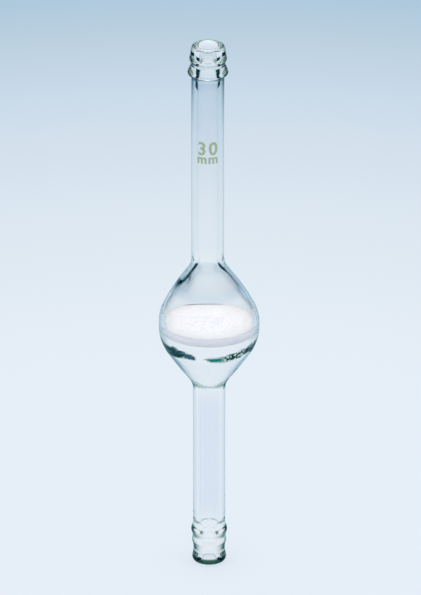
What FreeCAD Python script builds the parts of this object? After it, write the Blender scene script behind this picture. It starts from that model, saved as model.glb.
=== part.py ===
"""Filter tube for a gas or liquid line: a glass tube with a blown bulb, a sintered disc and two hose ends.

Millimetres. The tube stands on its lower end, +Z up its axis, with the origin at the centre of the
foot. All of the glass is one flame-worked piece. The porous disc is sealed into the bulb's belt.
"""
import FreeCAD, Part
import math
import os

import Sketcher
from FreeCAD import Vector

# The driving dimensions. Outer, Bore, Crest, Groove, Waist and Rim are diameters, and the rest are
# heights, walls and radii. The bulb's heights run from its widest place, the belt, and those of a
# hose end from its own mouth. A height of a corner is where its two straight sides would meet.
SIZES = {
    # The tubing of both stems
    "StemOuter": 10.3,
    "StemBore": 6.3,
    "FootToBelt": 83.0,
    "BeltToMouth": 96.0,
    # The blown bulb, outside: a belt, an upper cone that bulges at a break, and a lower cone
    "BulbOuter": 32.0,
    "UpperBellyAt": 4.5,
    "UpperBellyRadius": 11.5,
    "BreakOuter": 22.7,
    "BreakAt": 13.05,
    "BreakRadius": 75.0,
    "UpperNeckAt": 21.6,
    "LowerBellyAt": 4.65,
    "LowerBellyRadius": 14.0,
    "LowerNeckAt": 20.3,
    "NeckRadius": 1.8,
    # The hollow of the bulb: thin where it was blown, and thick again where the stems were joined on
    "BulbWall": 1.35,
    "UpperHollowBellyAt": 4.5,
    "UpperThinBore": 19.9,
    "UpperThinAt": 13.2,
    "UpperHollowNeckAt": 20.9,
    "LowerHollowBellyAt": 4.55,
    "LowerThinBore": 15.4,
    "LowerThinAt": 14.6,
    "LowerHollowNeckAt": 19.4,
    # The sintered disc and the groove that its rim is sealed into
    "DiscThickness": 2.6,
    "DiscTopAt": 1.7,
    "SeatDepth": 0.35,
    # The upper hose end
    "UpperRim": 10.8,
    "UpperCrestOne": 11.8,
    "UpperCrestOneAt": 4.5,
    "UpperGroove": 10.5,
    "UpperGrooveAt": 6.2,
    "UpperCrestTwo": 12.8,
    "UpperCrestTwoAt": 9.0,
    "UpperEndLength": 10.9,
    "UpperMouthBore": 5.8,
    "UpperMouthLength": 11.0,
    # The lower hose end
    "LowerRim": 10.9,
    "LowerRimHeight": 2.0,
    "LowerWaist": 9.8,
    "LowerWaistAt": 3.9,
    "LowerCrestOne": 11.1,
    "LowerCrestOneAt": 7.3,
    "LowerGroove": 10.5,
    "LowerGrooveAt": 8.6,
    "LowerCrestTwo": 11.6,
    "LowerCrestTwoAt": 11.2,
    "LowerEndLength": 13.0,
    "LowerMouthBore": 4.7,
    "LowerMouthLength": 10.6,
    # Over this length both bores widen to the stem's own
    "BoreTaper": 4.4,
    # What the flame rounds
    "RimRound": 0.9,
    "MouthRound": 0.7,
    "CrestRound": 0.7,
}

doc = FreeCAD.newDocument("filter_tube")
sheet = doc.addObject("Spreadsheet::Sheet", "Sizes")
for row, (alias, value) in enumerate(SIZES.items(), start=1):
    sheet.set(f"A{row}", alias)
    sheet.set(f"B{row}", str(value))
    sheet.setAlias(f"B{row}", alias)
doc.recompute()


class Length:
    """A length in millimetres, with the formula that ties it to the sheet."""

    def __init__(self, value, formula):
        self.value = value
        self.formula = formula

    def __add__(self, other):
        return Length(self.value + other.value, f"{self.formula} + {other.formula}")

    def __sub__(self, other):
        return Length(self.value - other.value, f"{self.formula} - ({other.formula})")

    def half(self):
        return Length(self.value / 2, f"({self.formula}) / 2")


ZERO = Length(0.0, "0")
size = {alias: Length(float(sheet.get(alias)), f"Sizes.{alias}") for alias in SIZES}
belt = size["FootToBelt"]
mouth = belt + size["BeltToMouth"]


def add_body(name):
    """An empty body that carries the sub-part's name."""
    body = doc.addObject("PartDesign::Body", name)
    body.Label = name
    return body


def add_sketch(body, name):
    """An empty sketch on the body's own XZ plane: its X is a radius and its Y a height."""
    sketch = body.newObject("Sketcher::SketchObject", name)
    plane = next(item for item in body.Origin.OriginFeatures if item.Role == "XZ_Plane")
    sketch.AttachmentSupport = [(plane, "")]
    sketch.MapMode = "FlatFace"
    return sketch


def bind(sketch, constraint, length):
    """Adds a constraint and ties its value to the sheet."""
    index = sketch.addConstraint(constraint)
    sketch.setExpression(f"Constraints[{index}]", length.formula)


def hold_point(sketch, geometry, end, radius, height):
    """Ties the start (1) or end (2) of a line or arc to a radius and a height."""
    if radius is ZERO:
        sketch.addConstraint(Sketcher.Constraint("PointOnObject", geometry, end, -2))
    else:
        bind(sketch, Sketcher.Constraint("DistanceX", -1, 1, geometry, end, radius.value), radius)
    if height is ZERO:
        sketch.addConstraint(Sketcher.Constraint("PointOnObject", geometry, end, -1))
    else:
        bind(sketch, Sketcher.Constraint("DistanceY", -1, 1, geometry, end, height.value), height)


def line(start, end):
    """A straight sketch line between two (radius, height) points given as numbers."""
    return Part.LineSegment(Vector(*start, 0), Vector(*end, 0))


def arc(centre, radius, start, end):
    """A sketch arc, anticlockwise from one point to another."""
    angles = [math.atan2(point[1] - centre[1], point[0] - centre[0]) for point in (start, end)]
    circle = Part.Circle(Vector(*centre, 0), Vector(0, 0, 1), radius)
    return Part.ArcOfCircle(circle, *angles)


def spin(body, name, kind, sketch):
    """Turns a profile round the tube's axis: a Revolution adds glass and a Groove takes it away."""
    feature = body.newObject(f"PartDesign::{kind}", name)
    feature.Profile = sketch
    feature.ReferenceAxis = (sketch, ["V_Axis"])
    feature.Angle = 360
    doc.recompute()


def tangent_points(before, corner, after, radius):
    """Where a rounding of this radius leaves each side of a corner, its centre, and whether it turns left."""
    sides = []
    for point in (before, after):
        reach = math.dist(point, corner)
        sides.append([(point[i] - corner[i]) / reach for i in (0, 1)])
    half_angle = math.acos(sides[0][0] * sides[1][0] + sides[0][1] * sides[1][1]) / 2
    back = radius / math.tan(half_angle)
    leaves = [[corner[i] + side[i] * back for i in (0, 1)] for side in sides]
    middle = [sides[0][i] + sides[1][i] for i in (0, 1)]
    reach = radius / math.sin(half_angle) / math.hypot(*middle)
    centre = [corner[i] + middle[i] * reach for i in (0, 1)]
    turns_left = sides[1][0] * sides[0][1] - sides[1][1] * sides[0][0] > 0
    return leaves, centre, turns_left


def spin_outline(body, name, kind, corners):
    """Turns an outline of straight lines. Each corner is (radius, height) or (radius, height, rounding)."""
    sketch = add_sketch(body, f"{name}Profile")
    count = len(corners)
    points = [(corner[0].value, corner[1].value) for corner in corners]
    starts = list(points)
    ends = list(points)
    arcs = {}
    for index, corner in enumerate(corners):
        if len(corner) == 3:
            before, after = points[index - 1], points[(index + 1) % count]
            leaves, centre, left = tangent_points(before, points[index], after, corner[2].value)
            ends[index], starts[index] = leaves
            start, end = leaves if left else reversed(leaves)
            arcs[index] = (arc(centre, corner[2].value, start, end), left)
    lines = [sketch.addGeometry(line(starts[i], ends[(i + 1) % count])) for i in range(count)]
    for index, corner in enumerate(corners):
        before, after = lines[index - 1], lines[index]
        if index not in arcs:
            sketch.addConstraint(Sketcher.Constraint("Coincident", before, 2, after, 1))
            hold_point(sketch, after, 1, corner[0], corner[1])
            continue
        geometry, left = arcs[index]
        rounding = sketch.addGeometry(geometry)
        peak = sketch.addGeometry(Part.Point(Vector(*points[index], 0)), True)
        first, last = (1, 2) if left else (2, 1)
        sketch.addConstraint(Sketcher.Constraint("Tangent", before, 2, rounding, first))
        sketch.addConstraint(Sketcher.Constraint("Tangent", rounding, last, after, 1))
        sketch.addConstraint(Sketcher.Constraint("PointOnObject", peak, 1, before))
        sketch.addConstraint(Sketcher.Constraint("PointOnObject", peak, 1, after))
        bind(sketch, Sketcher.Constraint("Radius", rounding, corner[2].value), corner[2])
        hold_point(sketch, peak, 1, corner[0], corner[1])
    spin(body, name, kind, sketch)


def round_rings(body, name, radius, places):
    """Rounds the circular edges that lie at the given (radius, height) places."""
    tip = body.Tip
    names = []
    for index, edge in enumerate(tip.Shape.Edges, start=1):
        if not isinstance(edge.Curve, Part.Circle):
            continue
        here = (edge.Curve.Radius, edge.Curve.Center.z)
        if any(math.dist(here, (place[0].value, place[1].value)) < 1e-4 for place in places):
            names.append(f"Edge{index}")
    if len(names) != len(places):
        raise ValueError(f"{name}: {len(names)} edges found for {len(places)} places")
    fillet = body.newObject("PartDesign::Fillet", name)
    fillet.Base = (tip, names)
    fillet.setExpression("Radius", radius.formula)
    doc.recompute()


# The glass outside: a blown bulb with a stem of tubing at each end
glass = add_body("glass_body")
stem = size["StemOuter"].half()
girth = size["BulbOuter"].half()
low_neck = belt - size["LowerNeckAt"] - size["NeckRadius"]
high_neck = belt + size["UpperNeckAt"] + size["NeckRadius"]
low_end = size["LowerEndLength"]
high_end = mouth - size["UpperEndLength"]
bulb_line = [
    (ZERO, low_neck),
    (stem, low_neck),
    (stem, belt - size["LowerNeckAt"], size["NeckRadius"]),
    (girth, belt - size["LowerBellyAt"], size["LowerBellyRadius"]),
    (girth, belt + size["UpperBellyAt"], size["UpperBellyRadius"]),
    (size["BreakOuter"].half(), belt + size["BreakAt"], size["BreakRadius"]),
    (stem, belt + size["UpperNeckAt"], size["NeckRadius"]),
    (stem, high_neck),
    (ZERO, high_neck),
]
spin_outline(glass, "Bulb", "Revolution", bulb_line)
for name, start, end in (("LowerStem", low_end, low_neck), ("UpperStem", high_neck, high_end)):
    spin_outline(glass, name, "Revolution", [(ZERO, start), (stem, start), (stem, end), (ZERO, end)])

# The hose ends: a rim and two pressed rings, each with its long slope towards the mouth
crest = size["CrestRound"]
low_rim = size["LowerRim"].half()
high_rim = size["UpperRim"].half()
low_rings = [
    (ZERO, ZERO),
    (low_rim, ZERO),
    (low_rim, size["LowerRimHeight"], crest),
    (size["LowerWaist"].half(), size["LowerWaistAt"]),
    (size["LowerCrestOne"].half(), size["LowerCrestOneAt"], crest),
    (size["LowerGroove"].half(), size["LowerGrooveAt"]),
    (size["LowerCrestTwo"].half(), size["LowerCrestTwoAt"], crest),
    (stem, low_end),
    (ZERO, low_end),
]
high_rings = [
    (ZERO, high_end),
    (stem, high_end),
    (size["UpperCrestTwo"].half(), mouth - size["UpperCrestTwoAt"], crest),
    (size["UpperGroove"].half(), mouth - size["UpperGrooveAt"]),
    (size["UpperCrestOne"].half(), mouth - size["UpperCrestOneAt"], crest),
    (high_rim, mouth),
    (ZERO, mouth),
]
spin_outline(glass, "LowerEnd", "Revolution", low_rings)
spin_outline(glass, "UpperEnd", "Revolution", high_rings)

# The glass inside: the bulb's hollow, the groove for the disc's rim and the bore from mouth to mouth
bore = size["StemBore"].half()
hollow = girth - size["BulbWall"]
hollow_line = [
    (ZERO, belt - size["LowerHollowNeckAt"]),
    (bore, belt - size["LowerHollowNeckAt"]),
    (size["LowerThinBore"].half(), belt - size["LowerThinAt"]),
    (hollow, belt - size["LowerHollowBellyAt"], size["LowerBellyRadius"] - size["BulbWall"]),
    (hollow, belt + size["UpperHollowBellyAt"], size["UpperBellyRadius"] - size["BulbWall"]),
    (size["UpperThinBore"].half(), belt + size["UpperThinAt"]),
    (bore, belt + size["UpperHollowNeckAt"]),
    (ZERO, belt + size["UpperHollowNeckAt"]),
]
spin_outline(glass, "Hollow", "Groove", hollow_line)
disc_radius = hollow + size["SeatDepth"]
disc_top = belt + size["DiscTopAt"]
disc_bottom = disc_top - size["DiscThickness"]
seat = [(ZERO, disc_bottom), (disc_radius, disc_bottom), (disc_radius, disc_top), (ZERO, disc_top)]
spin_outline(glass, "DiscSeat", "Groove", seat)
low_bore = size["LowerMouthBore"].half()
high_bore = size["UpperMouthBore"].half()
bore_line = [
    (ZERO, ZERO),
    (low_bore, ZERO),
    (low_bore, size["LowerMouthLength"]),
    (bore, size["LowerMouthLength"] + size["BoreTaper"]),
    (bore, mouth - size["UpperMouthLength"] - size["BoreTaper"]),
    (high_bore, mouth - size["UpperMouthLength"]),
    (high_bore, mouth),
    (ZERO, mouth),
]
spin_outline(glass, "Bore", "Groove", bore_line)

# The flame rounds both edges of each mouth
round_rings(glass, "RimRounding", size["RimRound"], [(low_rim, ZERO), (high_rim, mouth)])
round_rings(glass, "MouthRounding", size["MouthRound"], [(low_bore, ZERO), (high_bore, mouth)])

# The sintered disc: pressed glass powder, a plain round plate that fills its seat
disc = add_body("sintered_disc")
disc_sketch = disc.newObject("Sketcher::SketchObject", "DiscProfile")
disc_plane = next(item for item in disc.Origin.OriginFeatures if item.Role == "XY_Plane")
disc_sketch.AttachmentSupport = [(disc_plane, "")]
disc_sketch.MapMode = "FlatFace"
disc_sketch.addGeometry(Part.Circle(Vector(0, 0, 0), Vector(0, 0, 1), disc_radius.value))
disc_sketch.addConstraint(Sketcher.Constraint("Coincident", 0, 3, -1, 1))
bind(disc_sketch, Sketcher.Constraint("Radius", 0, disc_radius.value), disc_radius)
disc_plate = disc.newObject("PartDesign::Pad", "DiscPlate")
disc_plate.Profile = disc_sketch
disc_plate.setExpression("Length", size["DiscThickness"].formula)
disc.setExpression("Placement.Base.z", disc_bottom.formula)
doc.recompute()

for item in doc.Objects:
    if "Invalid" in item.State or "Error" in item.State:
        raise ValueError(f"{item.Label} did not build: {item.State}")

os.makedirs("parts", exist_ok=True)
for body in (glass, disc):
    shape = body.Shape
    if shape.isNull() or not shape.isValid() or len(shape.Solids) != 1:
        raise ValueError(f"{body.Label} is not one sound solid")
    shape.exportStep(f"parts/{body.Label}.step")
    print(f"{body.Label}: {shape.Volume:.1f} mm3, {shape.BoundBox}")
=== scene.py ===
"""A glass filter tube that stands on its lower hose end, on a pale sweep."""

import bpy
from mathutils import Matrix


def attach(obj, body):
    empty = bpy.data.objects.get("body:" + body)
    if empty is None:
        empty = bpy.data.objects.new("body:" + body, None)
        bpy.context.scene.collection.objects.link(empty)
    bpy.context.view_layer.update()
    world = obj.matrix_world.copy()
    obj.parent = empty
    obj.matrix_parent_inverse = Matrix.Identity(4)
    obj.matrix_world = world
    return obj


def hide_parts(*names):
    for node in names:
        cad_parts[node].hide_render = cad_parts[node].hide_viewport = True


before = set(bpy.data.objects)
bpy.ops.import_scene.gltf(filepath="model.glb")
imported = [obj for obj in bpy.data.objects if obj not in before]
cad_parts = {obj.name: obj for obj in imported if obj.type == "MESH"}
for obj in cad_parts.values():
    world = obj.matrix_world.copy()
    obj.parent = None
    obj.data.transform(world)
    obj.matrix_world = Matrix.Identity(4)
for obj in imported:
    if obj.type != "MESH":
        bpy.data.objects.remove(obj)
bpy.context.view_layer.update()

import math

import bmesh
import bpy
import numpy as np

# The camera stands two metres off, above the tube and looking down on it, with a long lens. The
# bulb's widest place, the belt, lies a little below and left of the middle of the picture.
MM = 0.001
belt = 83.0
picture_height = 595.0
camera_distance = 2.0
camera_elevation = math.radians(24.5)
pixels_per_radian = 6288.0
belt_below_middle = 27.5
belt_left_of_middle = 1.5


def add_object(name, data):
    """An object made of this data, put into the scene at its origin."""
    item = bpy.data.objects.new(name, data)
    bpy.context.scene.collection.objects.link(item)
    return item


camera_data = bpy.data.cameras.new("camera")
camera_data.sensor_width = 36.0
camera_data.lens = pixels_per_radian * camera_data.sensor_width / picture_height
camera = add_object("camera", camera_data)
camera.location = (
    0.0,
    -camera_distance * math.cos(camera_elevation),
    belt * MM + camera_distance * math.sin(camera_elevation),
)
camera.rotation_euler = (
    math.radians(90.0) - camera_elevation + belt_below_middle / pixels_per_radian,
    0.0,
    -belt_left_of_middle / pixels_per_radian,
)
bpy.context.scene.camera = camera


# The glass body is one piece of drawn tubing and blown bulb, worked in a flame. Its wall is thick
# at both necks, where the stems were joined on, and thin where the bulb was blown. The disc's rim
# is sealed into it, and both hose ends were pressed into rings while the glass was soft.
def smooth_line(stations, steps):
    """Radii and heights along a line through the stations, as a cubic whose slope at each station
    is that of the chord between its two neighbours, with evenly spaced steps between stations."""
    points = np.array(stations, float)
    lengths = np.hypot(*np.diff(points, axis=0).T)
    place = np.concatenate([[0.0], np.cumsum(lengths)])
    slopes = np.gradient(points, place, axis=0)
    along = np.linspace(0.0, place[-1], steps)
    index = np.clip(np.searchsorted(place, along, side="right") - 1, 0, len(place) - 2)
    span = lengths[index][:, None]
    t = ((along - place[index]) / lengths[index])[:, None]
    return (
        (2 * t**3 - 3 * t**2 + 1) * points[index]
        + (t**3 - 2 * t**2 + t) * span * slopes[index]
        + (3 * t**2 - 2 * t**3) * points[index + 1]
        + (t**3 - t**2) * span * slopes[index + 1]
    )


# Radii and heights in millimetres. The heights of the bulb's stations are counted from the belt,
# and those of the hose ends from the foot.
stem_radius = 5.15
stem_bore = 3.15
mouth = 179.0
low_end_outside = [
    (3.30, 0.00), (4.40, 0.05), (5.10, 0.35), (5.42, 1.00), (5.40, 1.80), (5.22, 2.70),
    (5.04, 3.80), (5.08, 5.20), (5.35, 6.60), (5.52, 7.30), (5.46, 7.90), (5.28, 8.60),
    (5.42, 9.60), (5.72, 10.60), (5.80, 11.20), (5.66, 11.80), (5.32, 12.60), (5.16, 13.60),
]
high_end_outside = [
    (5.15, 167.20), (5.20, 168.10), (5.60, 168.90), (6.20, 169.50), (6.40, 170.05), (6.30, 170.50),
    (6.02, 171.20), (5.64, 172.15), (5.34, 172.90), (5.38, 173.35), (5.78, 174.05), (5.90, 174.60),
    (5.78, 175.30), (5.55, 176.50), (5.42, 177.50), (5.28, 178.30), (4.85, 178.85), (4.30, mouth),
]
bulb_outside = [
    (5.15, -26.00), (5.15, -22.60), (5.25, -20.90), (5.62, -19.60), (6.60, -17.90), (8.45, -15.45),
    (10.15, -13.15), (11.75, -10.85), (13.20, -8.70), (14.42, -6.72), (15.30, -4.50),
    (15.85, -2.20), (16.00, 0.00), (15.92, 2.60), (15.38, 5.10), (14.15, 7.89), (12.98, 10.04),
    (11.77, 12.12), (10.37, 14.31), (8.86, 16.50), (7.30, 18.70), (6.05, 20.45), (5.42, 21.80),
    (5.18, 23.40), (5.15, 27.00),
]

# The blown wall isn't the same all round. Above the disc its inner line has a step at the front, a
# kink on the left and neither at the back. Under the disc it turns in sharply or evenly.
upper_stepped = [
    (3.15, 27.00), (3.17, 22.20), (3.54, 20.90), (4.65, 19.40), (5.80, 18.00), (7.40, 16.00),
    (8.50, 14.60), (9.58, 13.40), (10.66, 12.00), (11.92, 10.00), (13.04, 8.00), (13.93, 6.00),
    (14.45, 4.00),
]
upper_kinked = [
    (3.15, 27.00), (3.16, 22.00), (3.58, 20.80), (4.42, 19.50), (5.35, 18.10), (6.40, 16.50),
    (7.50, 15.20), (9.00, 13.90), (9.90, 13.00), (10.75, 12.00), (11.92, 10.00), (13.04, 8.00),
    (13.93, 6.00), (14.45, 4.00),
]
upper_smooth = [
    (3.15, 27.00), (3.17, 22.20), (3.54, 20.90), (4.65, 19.40), (5.85, 18.00), (7.42, 16.00),
    (8.96, 14.00), (10.42, 12.00), (11.75, 10.00), (12.95, 8.00), (13.92, 6.00), (14.45, 4.00),
]
at_belt = [(14.62, 2.40), (14.66, 0.40)]
sharp_turn = [
    (14.62, -1.60), (14.50, -3.20), (14.25, -4.40), (13.55, -5.50), (12.60, -6.70),
    (11.90, -7.70),
]
even_turn = [
    (14.56, -1.60), (14.25, -3.20), (13.80, -4.40), (13.20, -5.60), (12.52, -6.75),
    (11.88, -7.75),
]
lower_cone = [
    (11.10, -9.00), (9.75, -11.00), (8.35, -13.00), (7.00, -15.00), (5.75, -17.00), (4.52, -18.70),
    (3.58, -19.90), (3.22, -20.45), (3.15, -21.10), (3.15, -26.00),
]
bore_inside_high = [
    (4.30, mouth), (3.72, 178.92), (3.20, 178.60), (2.93, 178.00), (2.90, 176.50), (2.90, 170.40),
    (2.94, 169.40), (3.04, 167.80), (3.11, 166.20), (3.14, 164.60), (3.15, 163.20),
]
bore_inside_low = [
    (3.15, 16.50), (3.10, 14.60), (2.50, 11.60), (2.36, 10.20), (2.35, 4.00), (2.36, 1.20),
    (2.55, 0.45), (2.90, 0.10), (3.30, 0.00),
]


def lifted(stations):
    """Stations of the bulb, whose heights are counted from the belt, as heights above the foot."""
    return [(radius, height + belt) for radius, height in stations]


outer_line = np.concatenate([
    smooth_line(low_end_outside, 60),
    smooth_line([(stem_radius, 14.2), (stem_radius, 56.6)], 6),
    smooth_line(lifted(bulb_outside), 100),
    smooth_line([(stem_radius, 110.6), (stem_radius, 166.8)], 8),
    smooth_line(high_end_outside, 60)[:-1],
])


def glass_profile(bulb_inside):
    """The whole closed profile, up the outer wall and down the inner one, for one line of the
    bulb's inside, which follows the straight stems and the bores of both mouths."""
    return np.concatenate([
        outer_line,
        smooth_line(bore_inside_high, 24),
        smooth_line([(stem_bore, 162.0), (stem_bore, 111.0)], 8),
        smooth_line(lifted(bulb_inside), 100),
        smooth_line([(stem_bore, 56.0), (stem_bore, 17.5)], 6),
        smooth_line(bore_inside_low, 24)[:-1],
    ])


glass_line = glass_profile(upper_stepped + at_belt + sharp_turn + lower_cone)
even_line = glass_profile(upper_stepped + at_belt + even_turn + lower_cone)
kinked_line = glass_profile(upper_kinked + at_belt + sharp_turn + lower_cone)
back_line = glass_profile(upper_smooth + at_belt + sharp_turn + lower_cone)
SEGMENTS = 240


def turned_surface(line, segments):
    """Points of a line turned about the tube's axis: a point's circle is (r cos a, r sin a, z)."""
    angle = np.linspace(0.0, 2 * np.pi, segments, endpoint=False)
    radius = line[:, 0][:, None]
    height = np.broadcast_to(line[:, 1][:, None], (len(line), segments))
    return np.stack([radius * np.cos(angle), radius * np.sin(angle), height], axis=2) * MM


def ring_faces(rows, segments):
    """Four corners for each face of a closed grid of rings, in the order that faces it outwards."""
    row, column = np.meshgrid(np.arange(rows), np.arange(segments), indexing="ij")
    next_row, next_column = (row + 1) % rows, (column + 1) % segments
    corners = [row * segments + column, row * segments + next_column]
    corners += [next_row * segments + next_column, next_row * segments + column]
    return np.stack(corners, axis=2).reshape(-1, 4)


def make_mesh(name, points, faces):
    """A smooth-shaded mesh object, at the origin, from arrays of points and four-cornered faces."""
    mesh = bpy.data.meshes.new(name)
    mesh.vertices.add(len(points))
    mesh.vertices.foreach_set("co", points.ravel())
    mesh.loops.add(faces.size)
    mesh.loops.foreach_set("vertex_index", faces.ravel().astype(np.int32))
    mesh.polygons.add(len(faces))
    mesh.polygons.foreach_set("loop_start", np.arange(0, faces.size, 4, dtype=np.int32))
    mesh.polygons.foreach_set("use_smooth", np.ones(len(faces), bool))
    mesh.update(calc_edges=True)
    mesh.validate()
    return add_object(name, mesh)


def soft_mask(value, low, high):
    """0 below the low value, 1 above the high one, and 3 t t - 2 t t t between them."""
    t = np.clip((value - low) / (high - low), 0.0, 1.0)
    return t * t * (3.0 - 2.0 * t)


def read_off(stations, places):
    """The values between the stations, in straight lines: a row of values for each place."""
    table = np.array(stations, float)
    return np.stack([np.interp(places, table[:, 0], column) for column in table.T[1:]], axis=1)


# How far a point lies round the tube, in degrees from the front: the left is -90, the right 90.
# The inner lines are blended by it. Beside each turn stands how sharply the wall turns in there.
turn = (np.linspace(0.0, 360.0, SEGMENTS, endpoint=False) + 270.0) % 360.0 - 180.0
sharp_turn_in = [
    (-180, 0.6), (-120, 1.0), (-95, 0.5), (-60, 0.8), (-24, 1.0), (-14, 0.0), (30, 0.0), (55, 0.1),
    (68, 0.25), (95, 0.25), (130, 0.3), (180, 0.6),
]
sharp = read_off(sharp_turn_in, turn)
kinked = soft_mask(np.abs(turn + 90.0), 62.0, 22.0)[:, None]
at_back = soft_mask(np.abs(turn), 60.0, 85.0)[:, None] * (1.0 - kinked)
above_disc = (glass_line[:, 1] > belt + 3.0)[:, None, None]
glass_points = np.where(
    above_disc,
    turned_surface(glass_line, SEGMENTS) * (1.0 - kinked - at_back)
    + turned_surface(kinked_line, SEGMENTS) * kinked
    + turned_surface(back_line, SEGMENTS) * at_back,
    turned_surface(even_line, SEGMENTS) * (1.0 - sharp)
    + turned_surface(glass_line, SEGMENTS) * sharp,
)

# The upper stem was joined on a little aslant. Heights, and how far the tube leans there.
lean = [
    (belt, 0.0), (100.0, -0.30), (108.0, -0.46), (150.0, -0.50), (165.0, -0.42), (175.0, -0.30),
    (mouth, -0.29),
]
glass_points[..., 0] += np.interp(glass_points[..., 2] / MM, *np.array(lean).T) * MM
glass = make_mesh(
    "glass_tube", glass_points.reshape(-1, 3), ring_faces(len(glass_line), SEGMENTS)
)

# Where the blown wall turns in under the disc it is a thick lens, which gathers the dark of the
# room into a broken ring. That ring is painted shade in the glass's colour. Round the tube: the
# ring's top and lower edge, counted from the belt, its strength, its mottling, and its colour.
ring_stations = [
    (-180, -3.8, -6.2, 0.7, 0.3, 0.004, 0.040, 0.036),
    (-140, -3.2, -5.8, 0.9, 0.5, 0.002, 0.016, 0.016),
    (-100, -2.8, -5.0, 0.8, 0.0, 0.001, 0.006, 0.008),
    (-74, -2.4, -5.2, 1.0, 0.0, 0.000, 0.008, 0.012),
    (-69, -2.8, -5.6, 1.0, 0.0, 0.000, 0.005, 0.008),
    (-56, -3.1, -5.7, 1.0, 0.2, 0.000, 0.004, 0.008),
    (-47, -2.7, -6.1, 1.0, 1.0, 0.000, 0.004, 0.010),
    (-41, -2.8, -6.0, 1.0, 1.0, 0.010, 0.080, 0.120),
    (-33, -3.2, -5.7, 1.0, 1.0, 0.012, 0.120, 0.150),
    (-26, -3.5, -6.1, 1.0, 0.8, 0.006, 0.060, 0.100),
    (-18, -4.1, -6.1, 1.0, 0.2, 0.000, 0.010, 0.020),
    (-15, -5.0, -5.3, 0.0, 0.0, 0.001, 0.006, 0.010),
    (-8, -4.8, -5.2, 0.0, 0.0, 0.001, 0.020, 0.014),
    (-5, -4.7, -5.4, 0.9, 0.0, 0.000, 0.030, 0.022),
    (0, -4.6, -6.2, 1.0, 0.0, 0.000, 0.040, 0.028),
    (6, -4.6, -6.7, 1.0, 0.0, 0.000, 0.060, 0.038),
    (15, -4.5, -6.8, 1.0, 0.0, 0.000, 0.060, 0.036),
    (19, -4.1, -6.8, 1.0, 1.0, 0.32, 0.62, 0.44),
    (31, -3.7, -6.7, 1.0, 1.0, 0.46, 0.74, 0.58),
    (44, -3.2, -6.3, 1.0, 1.0, 0.44, 0.70, 0.58),
    (56, -2.7, -5.6, 1.0, 1.0, 0.40, 0.70, 0.64),
    (64, -2.4, -5.4, 1.0, 0.9, 0.22, 0.52, 0.54),
    (80, -2.2, -5.0, 0.9, 0.5, 0.06, 0.26, 0.32),
    (110, -3.0, -5.2, 0.8, 0.0, 0.001, 0.012, 0.014),
    (150, -3.6, -6.0, 1.0, 0.6, 0.010, 0.050, 0.040),
    (180, -3.8, -6.2, 0.7, 0.3, 0.004, 0.040, 0.036),
]
ring = read_off(ring_stations, turn)
ring_top, ring_low, ring_strength, ring_mottle = ring[:, :4].T
ring_colour = ring[:, 4:]
height = glass_line[:, 1][:, None]
outside = (np.arange(len(glass_line)) < len(outer_line))[:, None]
in_ring = soft_mask(height - belt, ring_low - 0.15, ring_low + 0.15)
in_ring = in_ring * soft_mask(height - belt, ring_top + 0.15, ring_top - 0.15) * outside
ring_share = (in_ring * ring_strength)[..., None]

# A teal streak of painted shade runs down the left of the upper cone. The foot is painted dark
# green: the green of glass seen through its whole width, and the shade where it stands.
cone_streak_colour = np.array([0.08, 0.42, 0.48])
foot_green_and_shade = np.array([0.0024, 0.022, 0.011])
cone_streak_shade = soft_mask(height, 96.0, 98.6) * soft_mask(height, 103.8, 100.4) * outside
cone_streak_middle = -59.0 - 3.3 * (103.0 - height)
cone_streak_shade = (cone_streak_shade * soft_mask(np.abs(turn - cone_streak_middle), 12.0, 3.0))[..., None]
in_foot = (soft_mask(height, 2.5, 2.0) * outside * np.ones_like(turn))[..., None]

# A faint painted shade in the glass, by height above the foot: of both walls, and on the outside
# of the upper cone alone.
wall_shade_stations = [
    (0, 1.00, 1.00, 1.00), (13, 1.00, 1.00, 1.00), (17, 0.88, 0.90, 0.96), (56, 0.88, 0.90, 0.96),
    (62, 1.00, 1.00, 1.00), (92, 0.97, 0.99, 1.00), (108, 0.98, 0.99, 1.00),
    (112, 1.00, 1.00, 1.00), (130, 1.00, 1.00, 1.00), (150, 0.90, 0.93, 0.96),
    (166, 0.84, 0.90, 0.95), (169, 1.00, 1.00, 1.00),
]
cone_stations = [
    (94.6, 1.00, 1.00, 1.00), (96.4, 0.75, 0.82, 0.89), (99.3, 0.86, 0.85, 0.83),
    (101.5, 0.98, 0.97, 0.94), (103.5, 0.94, 0.94, 0.90), (107, 1.00, 1.00, 1.00),
]
cone = np.where(outside, read_off(cone_stations, glass_line[:, 1]), 1.0)
body = (read_off(wall_shade_stations, glass_line[:, 1]) * cone)[:, None, :]
# The painted shade and the foot's green, multiplied into one colour for each point.
tint_and_painted_shade = body * (1.0 + (ring_colour - 1.0) * ring_share)
tint_and_painted_shade = tint_and_painted_shade * (1.0 + (cone_streak_colour - 1.0) * cone_streak_shade)
tint_and_painted_shade = tint_and_painted_shade * (1.0 + (foot_green_and_shade - 1.0) * in_foot)
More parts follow.
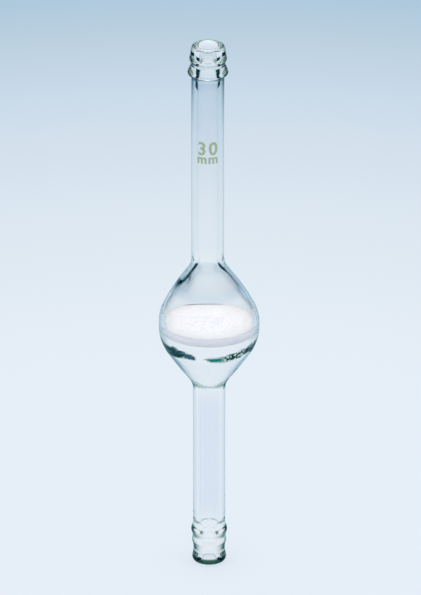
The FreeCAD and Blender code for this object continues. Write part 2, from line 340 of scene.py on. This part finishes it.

# Painted shade on the edges of the glass, where it is seen nearly along its surface: the colour
# that they reach, by height above the foot, and on the outer wall how wide they are, from 0 to 1.
outer_edges = [
    (0, 0.01, 0.07, 0.04, 0.6), (2.1, 0.02, 0.10, 0.06, 0.7), (2.4, 0.70, 0.90, 0.80, 0.9),
    (3.0, 0.70, 0.90, 0.80, 0.9), (3.25, 0.00, 0.03, 0.02, 0.9), (3.8, 0.00, 0.03, 0.02, 0.9),
    (4.1, 0.40, 0.66, 0.58, 0.8), (4.35, 0.40, 0.66, 0.58, 0.8), (4.7, 0.00, 0.03, 0.02, 0.7),
    (7.1, 0.00, 0.03, 0.02, 0.66), (7.9, 0.60, 0.80, 0.75, 0.6), (8.6, 0.60, 0.80, 0.75, 0.5),
    (9.3, 0.02, 0.12, 0.08, 0.7), (12.2, 0.02, 0.12, 0.08, 0.7), (13.4, 0.50, 0.75, 0.72, 0.5),
    (17, 0.76, 0.86, 0.87, 0.5), (56, 0.84, 0.90, 0.92, 0.5), (62, 0.60, 0.75, 0.78, 0.3),
    (65, 0.50, 0.65, 0.68, 0.06), (67, 0.01, 0.05, 0.07, 0.06), (79, 0.01, 0.05, 0.07, 0.06),
    (83, 0.60, 0.80, 0.85, 0.5), (90, 0.80, 0.90, 0.94, 0.5), (95, 0.72, 0.84, 0.90, 0.5),
    (103, 0.25, 0.50, 0.60, 0.5), (108, 0.80, 0.90, 0.94, 0.5), (114, 1.00, 1.00, 1.00, 0.5),
    (135, 1.00, 1.00, 1.00, 0.5), (155, 0.88, 0.92, 0.95, 0.5), (161, 0.24, 0.42, 0.50, 0.5),
    (166, 0.02, 0.08, 0.14, 0.55), (172, 0.02, 0.10, 0.14, 0.5), (176, 0.05, 0.16, 0.14, 0.5),
    (179, 0.20, 0.30, 0.16, 0.5),
]
inner_edges = [
    (0, 0.50, 0.65, 0.60), (14, 0.60, 0.75, 0.70), (18, 0.90, 0.95, 0.95), (57, 0.90, 0.95, 0.95),
    (61, 0.60, 0.70, 0.70), (64, 0.10, 0.30, 0.34), (67, 0.01, 0.08, 0.12), (79, 0.01, 0.08, 0.12),
    (82, 0.60, 0.75, 0.80), (86, 0.20, 0.40, 0.46), (90, 0.01, 0.07, 0.10), (99, 0.00, 0.03, 0.05),
    (104, 0.00, 0.005, 0.01), (107, 0.10, 0.20, 0.25), (112, 0.70, 0.80, 0.85),
    (150, 0.30, 0.45, 0.50), (166, 0.10, 0.20, 0.25), (179, 0.20, 0.30, 0.30),
]
of_outer = read_off(outer_edges, glass_line[:, 1])
of_inner = np.pad(read_off(inner_edges, glass_line[:, 1]), ((0, 0), (0, 1)))
edge_shade = np.where(outside, of_outer, of_inner)[:, None, :] * np.ones((SEGMENTS, 1))

# On the right, under the disc, less shade is painted on the edges. The lower neck has a dash of
# painted shade on each side: where it is, from which height to which, its colour and its width.
paler_edge_side = soft_mask(np.abs(turn - 75.0), 45.0, 20.0)
paler_edge_side = (paler_edge_side * soft_mask(np.abs(height - belt + 7.0), 6.0, 4.0))[..., None]
edge_shade[..., :3] += (1.0 - edge_shade[..., :3]) * 0.85 * paler_edge_side
for middle, low, top, dark_edge_dash in (
    (-90.0, 61.9, 64.4, (0.04, 0.12, 0.15, 0.5)),
    (90.0, 61.7, 66.4, (0.00, 0.03, 0.04, 0.5)),
):
    on_neck = soft_mask(height, low - 0.4, low + 0.4) * soft_mask(height, top + 0.4, top - 0.4)
    on_neck = (on_neck * outside * soft_mask(np.abs(turn - middle), 45.0, 30.0))[..., None]
    edge_shade += (np.array(dark_edge_dash) - edge_shade) * on_neck


def paint_points(piece, name, colours):
    """A colour for each point of a piece, from an array of red, green, blue and maybe alpha."""
    layer = piece.data.attributes.new(name, "FLOAT_COLOR", "POINT")
    full = np.concatenate([colours, np.ones((*colours.shape[:2], 1))], axis=2)[..., :4]
    layer.data.foreach_set("color", full.astype(np.float32).ravel())


paint_points(glass, "tint_and_painted_shade", tint_and_painted_shade)
paint_points(glass, "edge_shade", edge_shade)
mottled = np.repeat((in_ring * ring_mottle)[..., None], 3, axis=2)
paint_points(glass, "mottled", mottled)

# A teal stripe of painted shade runs down the lower cone a little in from each side.
in_cone = soft_mask(height - belt, -4.8, -6.2) * soft_mask(height - belt, -14.6, -12.4) * outside
paint_points(glass, "cone_shade_stripe", in_cone[..., None] * np.ones((1, SEGMENTS, 3)))


def new_material(name):
    """A new material, with its nodes, its links and its shader."""
    material = bpy.data.materials.new(name)
    material.use_nodes = True
    tree = material.node_tree
    return material, tree.nodes, tree.links, tree.nodes["Principled BSDF"]


clear_glass, nodes, links, shader = new_material("clear_borosilicate_glass")
shader.inputs["Roughness"].default_value = 0.0
shader.inputs["IOR"].default_value = 1.474
shader.inputs["Specular Tint"].default_value = (0.12, 0.42, 0.50, 1.0)
shader.inputs["Transmission Weight"].default_value = 1.0
tint = nodes.new("ShaderNodeVolumeAbsorption")
tint.inputs["Color"].default_value = (0.58, 0.82, 0.70, 1.0)
tint.inputs["Density"].default_value = 9.0
links.new(tint.outputs["Volume"], nodes["Material Output"].inputs["Volume"])


def from_points(name):
    """The node that reads one of the colours painted on the points."""
    reader = nodes.new("ShaderNodeAttribute")
    reader.attribute_name = name
    return reader


def feed(socket, value):
    """Sets a socket to a number or a colour, or links another node's socket to it."""
    if isinstance(value, (float, tuple)):
        socket.default_value = value
    else:
        links.new(value, socket)


def mixed(kind, share, under, over):
    """One colour mixed with another, by a share from 0 to 1."""
    mixer = nodes.new("ShaderNodeMix")
    mixer.data_type = "RGBA"
    mixer.blend_type = kind
    for name, value in (("Factor", share), ("A", under), ("B", over)):
        feed(mixer.inputs[name], value)
    return mixer.outputs["Result"]


def worked(kind, first, second):
    """Two numbers multiplied or added, or the greater or smaller of the two."""
    step = nodes.new("ShaderNodeMath")
    step.operation = kind
    feed(step.inputs[0], first)
    feed(step.inputs[1], second)
    return step.outputs["Value"]


def between(value, low, high, start=0.0, end=1.0, kind="LINEAR"):
    """The start at the low value and the end at the high one. Between them it goes in a straight
    line, or as 3 t t - 2 t t t for the kind SMOOTHSTEP."""
    step = nodes.new("ShaderNodeMapRange")
    step.interpolation_type = kind
    limits = (("From Min", low), ("From Max", high), ("To Min", start), ("To Max", end))
    for name, limit in limits:
        feed(step.inputs[name], limit)
    links.new(value, step.inputs["Value"])
    return step.outputs["Result"]


def soft_step(value, low, high):
    """A share that goes smoothly from 0 at the low value to 1 at the high one."""
    return between(value, low, high, kind="SMOOTHSTEP")


# The painted ring's mottling: lines of painted shade between cells about a millimetre wide.
no_tint = (1.0, 1.0, 1.0, 1.0)
cell_shade_colour = (0.0, 0.002, 0.002, 1.0)
place = nodes.new("ShaderNodeTexCoord")
cells = nodes.new("ShaderNodeTexVoronoi")
cells.feature = "DISTANCE_TO_EDGE"
cells.inputs["Scale"].default_value = 900.0
links.new(place.outputs["Object"], cells.inputs["Vector"])
near_cell_edge = between(cells.outputs["Distance"], 0.24, 0.12)
cell_shade = worked("MULTIPLY", near_cell_edge, from_points("mottled").outputs["Fac"])
tint_and_shade = mixed("MIX", cell_shade, from_points("tint_and_painted_shade").outputs["Color"], cell_shade_colour)
side_seen = nodes.new("ShaderNodeNewGeometry")
tint_and_shade = mixed("MIX", side_seen.outputs["Backfacing"], tint_and_shade, no_tint)

# A narrow edge starts where the surface turns away by 0.66 and is full at 0.98, a wide one starts
# at once and is full at 0.46.
facing = nodes.new("ShaderNodeLayerWeight")
facing.inputs["Blend"].default_value = 0.5
# The painted shade on the edges, read from the points.
edges = from_points("edge_shade")
edge_share = soft_step(
    facing.outputs["Facing"],
    between(edges.outputs["Alpha"], 0.0, 1.0, 0.66, 0.00),
    between(edges.outputs["Alpha"], 0.0, 1.0, 0.98, 0.46),
)
edge = mixed("MIX", edge_share, no_tint, edges.outputs["Color"])
# The painted teal stripe of shade is kept to a band of the facing.
stripe_share = from_points("cone_shade_stripe").outputs["Fac"]
for low, high in ((0.67, 0.75), (0.91, 0.81)):
    stripe_share = worked("MULTIPLY", stripe_share, soft_step(facing.outputs["Facing"], low, high))
stripe_shade = mixed("MIX", stripe_share, no_tint, (0.20, 0.42, 0.50, 1.0))
tinted = mixed("MULTIPLY", 1.0, mixed("MULTIPLY", 1.0, tint_and_shade, edge), stripe_shade)
links.new(tinted, shader.inputs["Base Color"])
glass.data.materials.append(clear_glass)
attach(glass, "root")
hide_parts("glass_body")


# The size mark on the upper stem is olive enamel, printed on the cold glass and fired: the disc's
# width in millimetres, in plain figures, over the unit.
# In millimetres: the enamel's thickness, its gap from the stem, the stem's lean at its height, and
# the longest edge that a letter may keep before it is bent.
print_thickness = 0.03
print_gap = 0.012
lean_at_print = -0.49
longest_edge = 0.6


def wrapped_print(text, letter_size, foot_height, spacing):
    """Flat letters bent round the leaning stem: x becomes the angle x / r, y is added to the
    height, and depth is added to r."""
    curve = bpy.data.curves.new("size_mark", "FONT")
    curve.body = text
    curve.size = letter_size
    curve.space_character = spacing
    curve.align_x = "CENTER"
    curve.offset = 0.14
    curve.extrude = 0.5
    curve.resolution_u = 3
    flat_letters = bpy.data.objects.new("size_mark", curve)
    mesh = bpy.data.meshes.new_from_object(flat_letters)
    bpy.data.objects.remove(flat_letters)
    builder = bmesh.new()
    builder.from_mesh(mesh)
    bmesh.ops.remove_doubles(builder, verts=builder.verts, dist=0.0001)
    bmesh.ops.triangulate(builder, faces=builder.faces)
    bmesh.ops.subdivide_edges(
        builder,
        edges=[edge for edge in builder.edges if edge.calc_length() > longest_edge],
        cuts=2,
    )
    bmesh.ops.triangulate(builder, faces=builder.faces)
    builder.to_mesh(mesh)
    builder.free()
    points = np.empty(len(mesh.vertices) * 3)
    mesh.vertices.foreach_get("co", points)
    across, up, depth = points.reshape(-1, 3).T
    radius = stem_radius + print_gap + print_thickness * (depth + 0.5)
    angle = across / stem_radius - np.pi / 2
    bent = np.stack(
        [radius * np.cos(angle) + lean_at_print, radius * np.sin(angle), foot_height + up], axis=1
    )
    mesh.vertices.foreach_set("co", (bent * MM).ravel())
    mesh.update()
    return mesh


# Grain: a noise on the piece's own coordinates, cut between a low and a high limit, which goes from
# the dark colour to the light one.
grain_group = bpy.data.node_groups.new("grain", "ShaderNodeTree")
for way, kind, names in (
    ("INPUT", "NodeSocketVector", ("Place",)),
    ("INPUT", "NodeSocketFloat", ("Scale", "Detail", "Roughness", "Low", "High")),
    ("INPUT", "NodeSocketColor", ("Dark", "Light")),
    ("OUTPUT", "NodeSocketColor", ("Color",)),
    ("OUTPUT", "NodeSocketFloat", ("Share", "Height")),
):
    for name in names:
        grain_group.interface.new_socket(name=name, in_out=way, socket_type=kind)
nodes = grain_group.nodes
links = grain_group.links
given = nodes.new("NodeGroupInput")
result = nodes.new("NodeGroupOutput")
noise = nodes.new("ShaderNodeTexNoise")
links.new(given.outputs["Place"], noise.inputs["Vector"])
for name in ("Scale", "Detail", "Roughness"):
    links.new(given.outputs[name], noise.inputs[name])
share = between(noise.outputs["Fac"], given.outputs["Low"], given.outputs["High"])
colour = mixed("MIX", share, given.outputs["Dark"], given.outputs["Light"])
for name, value in (("Color", colour), ("Share", share), ("Height", noise.outputs["Fac"])):
    links.new(value, result.inputs[name])


def grain(place, **values):
    """The grain group placed in a material, with its own values, given as numbers or sockets."""
    placed = nodes.new("ShaderNodeGroup")
    placed.node_tree = grain_group
    links.new(place.outputs["Object"], placed.inputs["Place"])
    for name, value in values.items():
        feed(placed.inputs[name], value)
    return placed


olive_enamel, nodes, links, shader = new_material("olive_enamel")
shader.inputs["Roughness"].default_value = 0.45
specks = grain(
    nodes.new("ShaderNodeTexCoord"), Scale=1800.0, Detail=3.0, Roughness=0.5, Low=0.0, High=1.0,
    Dark=(0.15, 0.21, 0.12, 1.0), Light=(0.29, 0.35, 0.24, 1.0),
)
links.new(specks.outputs["Color"], shader.inputs["Base Color"])
for name, text, letter_size, foot_height, spacing in (
    ("size_figures", "30", 6.1, 143.8, 1.2),
    ("size_unit", "mm", 4.3, 140.9, 1.15),
):
    mark_mesh = wrapped_print(text, letter_size, foot_height, spacing)
    mark_mesh.materials.clear()
    mark_mesh.materials.append(olive_enamel)
    mark = add_object(name, mark_mesh)
    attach(mark, "root")


# The filter disc is pressed and sintered from glass powder, so that it is white, matt and porous.
# Its rim is fused into the glass all round.
disc_rim = 15.06
disc_top = 84.7
disc_bottom = 82.1
disc_line = np.concatenate([
    smooth_line([(1.0, disc_bottom), (13.6, disc_bottom)], 24),
    smooth_line([(14.3, disc_bottom + 0.02), (14.85, disc_bottom + 0.15), (disc_rim, 82.5)], 6),
    smooth_line([(disc_rim, 84.25), (14.85, disc_top - 0.1), (14.35, disc_top)], 6),
    smooth_line([(13.8, disc_top), (1.0, disc_top)], 24),
])
disc_points = turned_surface(disc_line, SEGMENTS).reshape(-1, 3)
disc_faces = ring_faces(len(disc_line), SEGMENTS)[:-SEGMENTS]
first = np.arange(SEGMENTS)
second = (first + 1) % SEGMENTS
last_ring = len(disc_points) - SEGMENTS
low_pole, high_pole = len(disc_points), len(disc_points) + 1
poles = np.array([(0.0, 0.0, disc_bottom), (0.0, 0.0, disc_top)]) * MM
low_fan = np.stack([second, first, np.full_like(first, low_pole)], axis=1)
high_fan = np.stack(
    [first + last_ring, second + last_ring, np.full_like(first, high_pole)], axis=1
)
disc_mesh = bpy.data.meshes.new("sintered_filter_disc")
disc_mesh.from_pydata(
    np.concatenate([disc_points, poles]).tolist(), [],
    disc_faces.tolist() + low_fan.tolist() + high_fan.tolist(),
)
disc_mesh.polygons.foreach_set("use_smooth", np.ones(len(disc_mesh.polygons), bool))
disc = add_object("sintered_filter_disc", disc_mesh)


def length_of(place, kind, by):
    """The length of a place's vector, its three numbers first multiplied or divided by others."""
    scaled = nodes.new("ShaderNodeVectorMath")
    scaled.operation = kind
    scaled.inputs[1].default_value = by
    links.new(place.outputs["Object"], scaled.inputs[0])
    length = nodes.new("ShaderNodeVectorMath")
    length.operation = "LENGTH"
    links.new(scaled.outputs["Vector"], length.inputs[0])
    return length.outputs["Value"]


sintered, nodes, links, shader = new_material("white_sintered_glass")
shader.inputs["Roughness"].default_value = 0.9
shader.inputs["Specular IOR Level"].default_value = 0.2
place = nodes.new("ShaderNodeTexCoord")
axes = nodes.new("ShaderNodeSeparateXYZ")
links.new(place.outputs["Object"], axes.inputs[0])
from_middle = length_of(place, "MULTIPLY", (1.0, 1.0, 0.0))

# The powder is painted greyer in the middle and whiter towards the rim: painted light that evens
# out the shade near the glass wall.
near_rim = between(from_middle, 3.0 * MM, 13.5 * MM)
grains = grain(
    place, Scale=1400.0, Detail=4.0, Roughness=0.7, Low=0.38, High=0.58,
    Dark=mixed("MIX", near_rim, (0.68, 0.72, 0.80, 1.0), (0.92, 0.94, 1.0, 1.0)),
    Light=mixed("MIX", near_rim, (0.90, 0.91, 0.93, 1.0), (0.99, 1.0, 1.0, 1.0)),
)

# The rim is painted lilac as shade where it meets the glass, and a thin grey painted shadow lies
# on part of it at the back.
rim_shade_colour = (0.87, 0.89, 1.0, 1.0)
rim_shadow_grey = (0.22, 0.26, 0.34, 1.0)
rim_shade = soft_step(from_middle, 14.20 * MM, 14.75 * MM)
powder = mixed("MIX", rim_shade, grains.outputs["Color"], rim_shade_colour)
rim_shadow = between(from_middle, 13.75 * MM, 13.95 * MM)
for axis, low, high in (("Y", 11.4, 12.4), ("X", 5.5, 2.5)):
    rim_shadow = worked("MULTIPLY", rim_shadow, between(axes.outputs[axis], low * MM, high * MM))
powder = mixed("MIX", rim_shadow, powder, rim_shadow_grey)

# The crumbled edge between the disc's top and its side wanders by a quarter of a millimetre.
wobble = between(grains.outputs["Height"], 0.0, 1.0, -0.25 * MM, 0.25 * MM)
edge_height = worked("ADD", axes.outputs["Z"], wobble)
on_top = soft_step(edge_height, (disc_top - 0.45) * MM, (disc_top - 0.20) * MM)
# The side is painted lilac and darker than the top, as shade.
side = mixed("MIX", grains.outputs["Share"], (0.86, 0.89, 1.0, 1.0), (0.92, 0.94, 1.0, 1.0))
links.new(mixed("MIX", on_top, side, powder), shader.inputs["Base Color"])
relief = nodes.new("ShaderNodeBump")
relief.inputs["Strength"].default_value = 0.5
relief.inputs["Distance"].default_value = 0.15 * MM
links.new(grains.outputs["Height"], relief.inputs["Height"])
links.new(relief.outputs["Normal"], shader.inputs["Normal"])
disc.data.materials.append(sintered)
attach(disc, "root")
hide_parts("sintered_disc")


# The pale sweep that the tube stands on is painted near white round its foot, and light blue
# further off. It is stage, and no part of the tube.
sweep_half_width = 0.44
sweep_half_depth = 0.50
floor_height = -0.0001
angle = np.linspace(0.0, 2.0 * np.pi, 128, endpoint=False)
rim = np.stack([sweep_half_width * np.cos(angle), sweep_half_depth * np.sin(angle)], axis=1)
floor_mesh = bpy.data.meshes.new("sweep")
floor_mesh.from_pydata([(x, y, floor_height) for x, y in rim], [], [tuple(range(len(rim)))])
floor = add_object("sweep", floor_mesh)


def srgb(red, green, blue):
    """A colour given as it shows on screen, 0 to 255, as linear light."""
    shown = np.array([red, green, blue]) / 255.0
    return (*np.where(shown <= 0.04045, shown / 12.92, ((shown + 0.055) / 1.055) ** 2.4), 1.0)


def chosen(share, under, over):
    """One shader or light mixed with another, by a share from 0 to 1."""
    choice = nodes.new("ShaderNodeMixShader")
    links.new(share, choice.inputs["Fac"])
    links.new(under, choice.inputs[1])
    links.new(over, choice.inputs[2])
    return choice.outputs["Shader"]


sweep_paint, nodes, links, shader = new_material("pale_sweep")
nodes.remove(shader)
place = nodes.new("ShaderNodeTexCoord")
reach = length_of(place, "DIVIDE", (sweep_half_width, sweep_half_depth, 1.0))
ramp = nodes.new("ShaderNodeValToRGB")
ramp.color_ramp.interpolation = "LINEAR"
shades = [
    (0.00, (232, 241, 250)), (0.25, (231, 240, 249)), (0.38, (229, 238, 246)),
    (0.54, (222, 233, 243)), (0.71, (212, 225, 237)), (0.80, (202, 219, 234)),
    (0.89, (191, 211, 226)), (1.00, (174, 201, 221)),
]
stops = ramp.color_ramp.elements
while len(stops) < len(shades):
    stops.new(0.5)
for stop, (position, colour) in zip(stops, shades):
    stop.position = position
    stop.color = srgb(*colour)
links.new(reach, ramp.inputs["Fac"])
paint = nodes.new("ShaderNodeBsdfDiffuse")
links.new(ramp.outputs["Color"], paint.inputs["Color"])

# Straight on and through glass the sweep mostly shows its own colour, and it still takes the
# tube's shadow. Mirrored in the glass it is dimmer and teal, as the room round it is.
shown_share = 0.86
mirrored_tint = (0.26, 0.53, 0.60, 1.0)
seen = nodes.new("ShaderNodeLightPath")
straight = worked("MAXIMUM", seen.outputs["Is Camera Ray"], seen.outputs["Is Transmission Ray"])
mirrored = worked("MULTIPLY", seen.outputs["Is Glossy Ray"], seen.outputs["Is Reflection Ray"])
share = worked("MAXIMUM", worked("MULTIPLY", straight, shown_share), mirrored)
glow = nodes.new("ShaderNodeEmission")
glow.inputs["Strength"].default_value = 0.875
links.new(
    mixed("MULTIPLY", mirrored, ramp.outputs["Color"], mirrored_tint), glow.inputs["Color"]
)
painted = chosen(share, paint.outputs["BSDF"], glow.outputs["Emission"])
links.new(painted, nodes["Material Output"].inputs["Surface"])
floor_mesh.materials.append(sweep_paint)


# The studio: a soft box overhead, and all round below it the dark of the room, but pale under the
# tube and straight behind it. What the camera sees past the sweep has the sweep's own far colour.
world = bpy.data.worlds.new("studio")
bpy.context.scene.world = world
world.cycles.sampling_method = "NONE"
world.use_nodes = True
nodes = world.node_tree.nodes
links = world.node_tree.links
nodes.clear()
direction = nodes.new("ShaderNodeTexCoord")
split = nodes.new("ShaderNodeSeparateXYZ")
links.new(direction.outputs["Generated"], split.inputs[0])
path = nodes.new("ShaderNodeLightPath")

# The dark shows in the thick glass, which bends the view once or twice. A view that has gone
# straight through the hollow tube, and so through more walls, meets the pale far wall.
dark_room = srgb(0, 48, 62)
past_the_tube = soft_step(path.outputs["Transmission Depth"], 2.5, 3.5)
far_wall = mixed("MIX", past_the_tube, dark_room, srgb(176, 202, 221))
width = nodes.new("ShaderNodeMath")
width.operation = "ABSOLUTE"
links.new(split.outputs["X"], width.inputs[0])
in_the_middle = soft_step(width.outputs["Value"], 0.62, 0.42)
below = soft_step(split.outputs["Z"], 0.02, -0.04)
table = mixed("MIX", worked("MULTIPLY", in_the_middle, below), far_wall, srgb(205, 221, 235))
behind = soft_step(split.outputs["Y"], 0.76, 0.93)
low_down = soft_step(split.outputs["Z"], 0.30, 0.12)
room = mixed("MIX", worked("MULTIPLY", behind, low_down), table, srgb(196, 216, 232))

# The lamp is a broad soft box overhead, with a bright middle.
soft_box = (1.5, 1.5, 1.5, 1.0)
lamp_middle = (9.0, 9.0, 9.0, 1.0)
lamp = mixed("MIX", soft_step(split.outputs["Z"], 0.955, 0.975), soft_box, lamp_middle)
overhead = soft_step(split.outputs["Z"], 0.72, 0.82)
room_light = nodes.new("ShaderNodeBackground")
links.new(mixed("MIX", overhead, room, lamp), room_light.inputs["Color"])
far_sweep = nodes.new("ShaderNodeBackground")
far_sweep.inputs["Color"].default_value = srgb(174, 201, 221)

# Matt surfaces are lit by an even white dome instead.
dome = nodes.new("ShaderNodeBackground")
dome.inputs["Color"].default_value = (1.0, 1.0, 1.0, 1.0)
dome.inputs["Strength"].default_value = 1.72
scattered = worked("MINIMUM", path.outputs["Diffuse Depth"], 1.0)
shown = chosen(
    path.outputs["Is Camera Ray"], room_light.outputs["Background"], far_sweep.outputs["Background"]
)
output = nodes.new("ShaderNodeOutputWorld")
links.new(chosen(scattered, shown, dome.outputs["Background"]), output.inputs["Surface"])

bpy.context.scene.view_settings.view_transform = "Standard"
for bounces in ("max_bounces", "transmission_bounces", "glossy_bounces"):
    setattr(bpy.context.scene.cycles, bounces, 32)
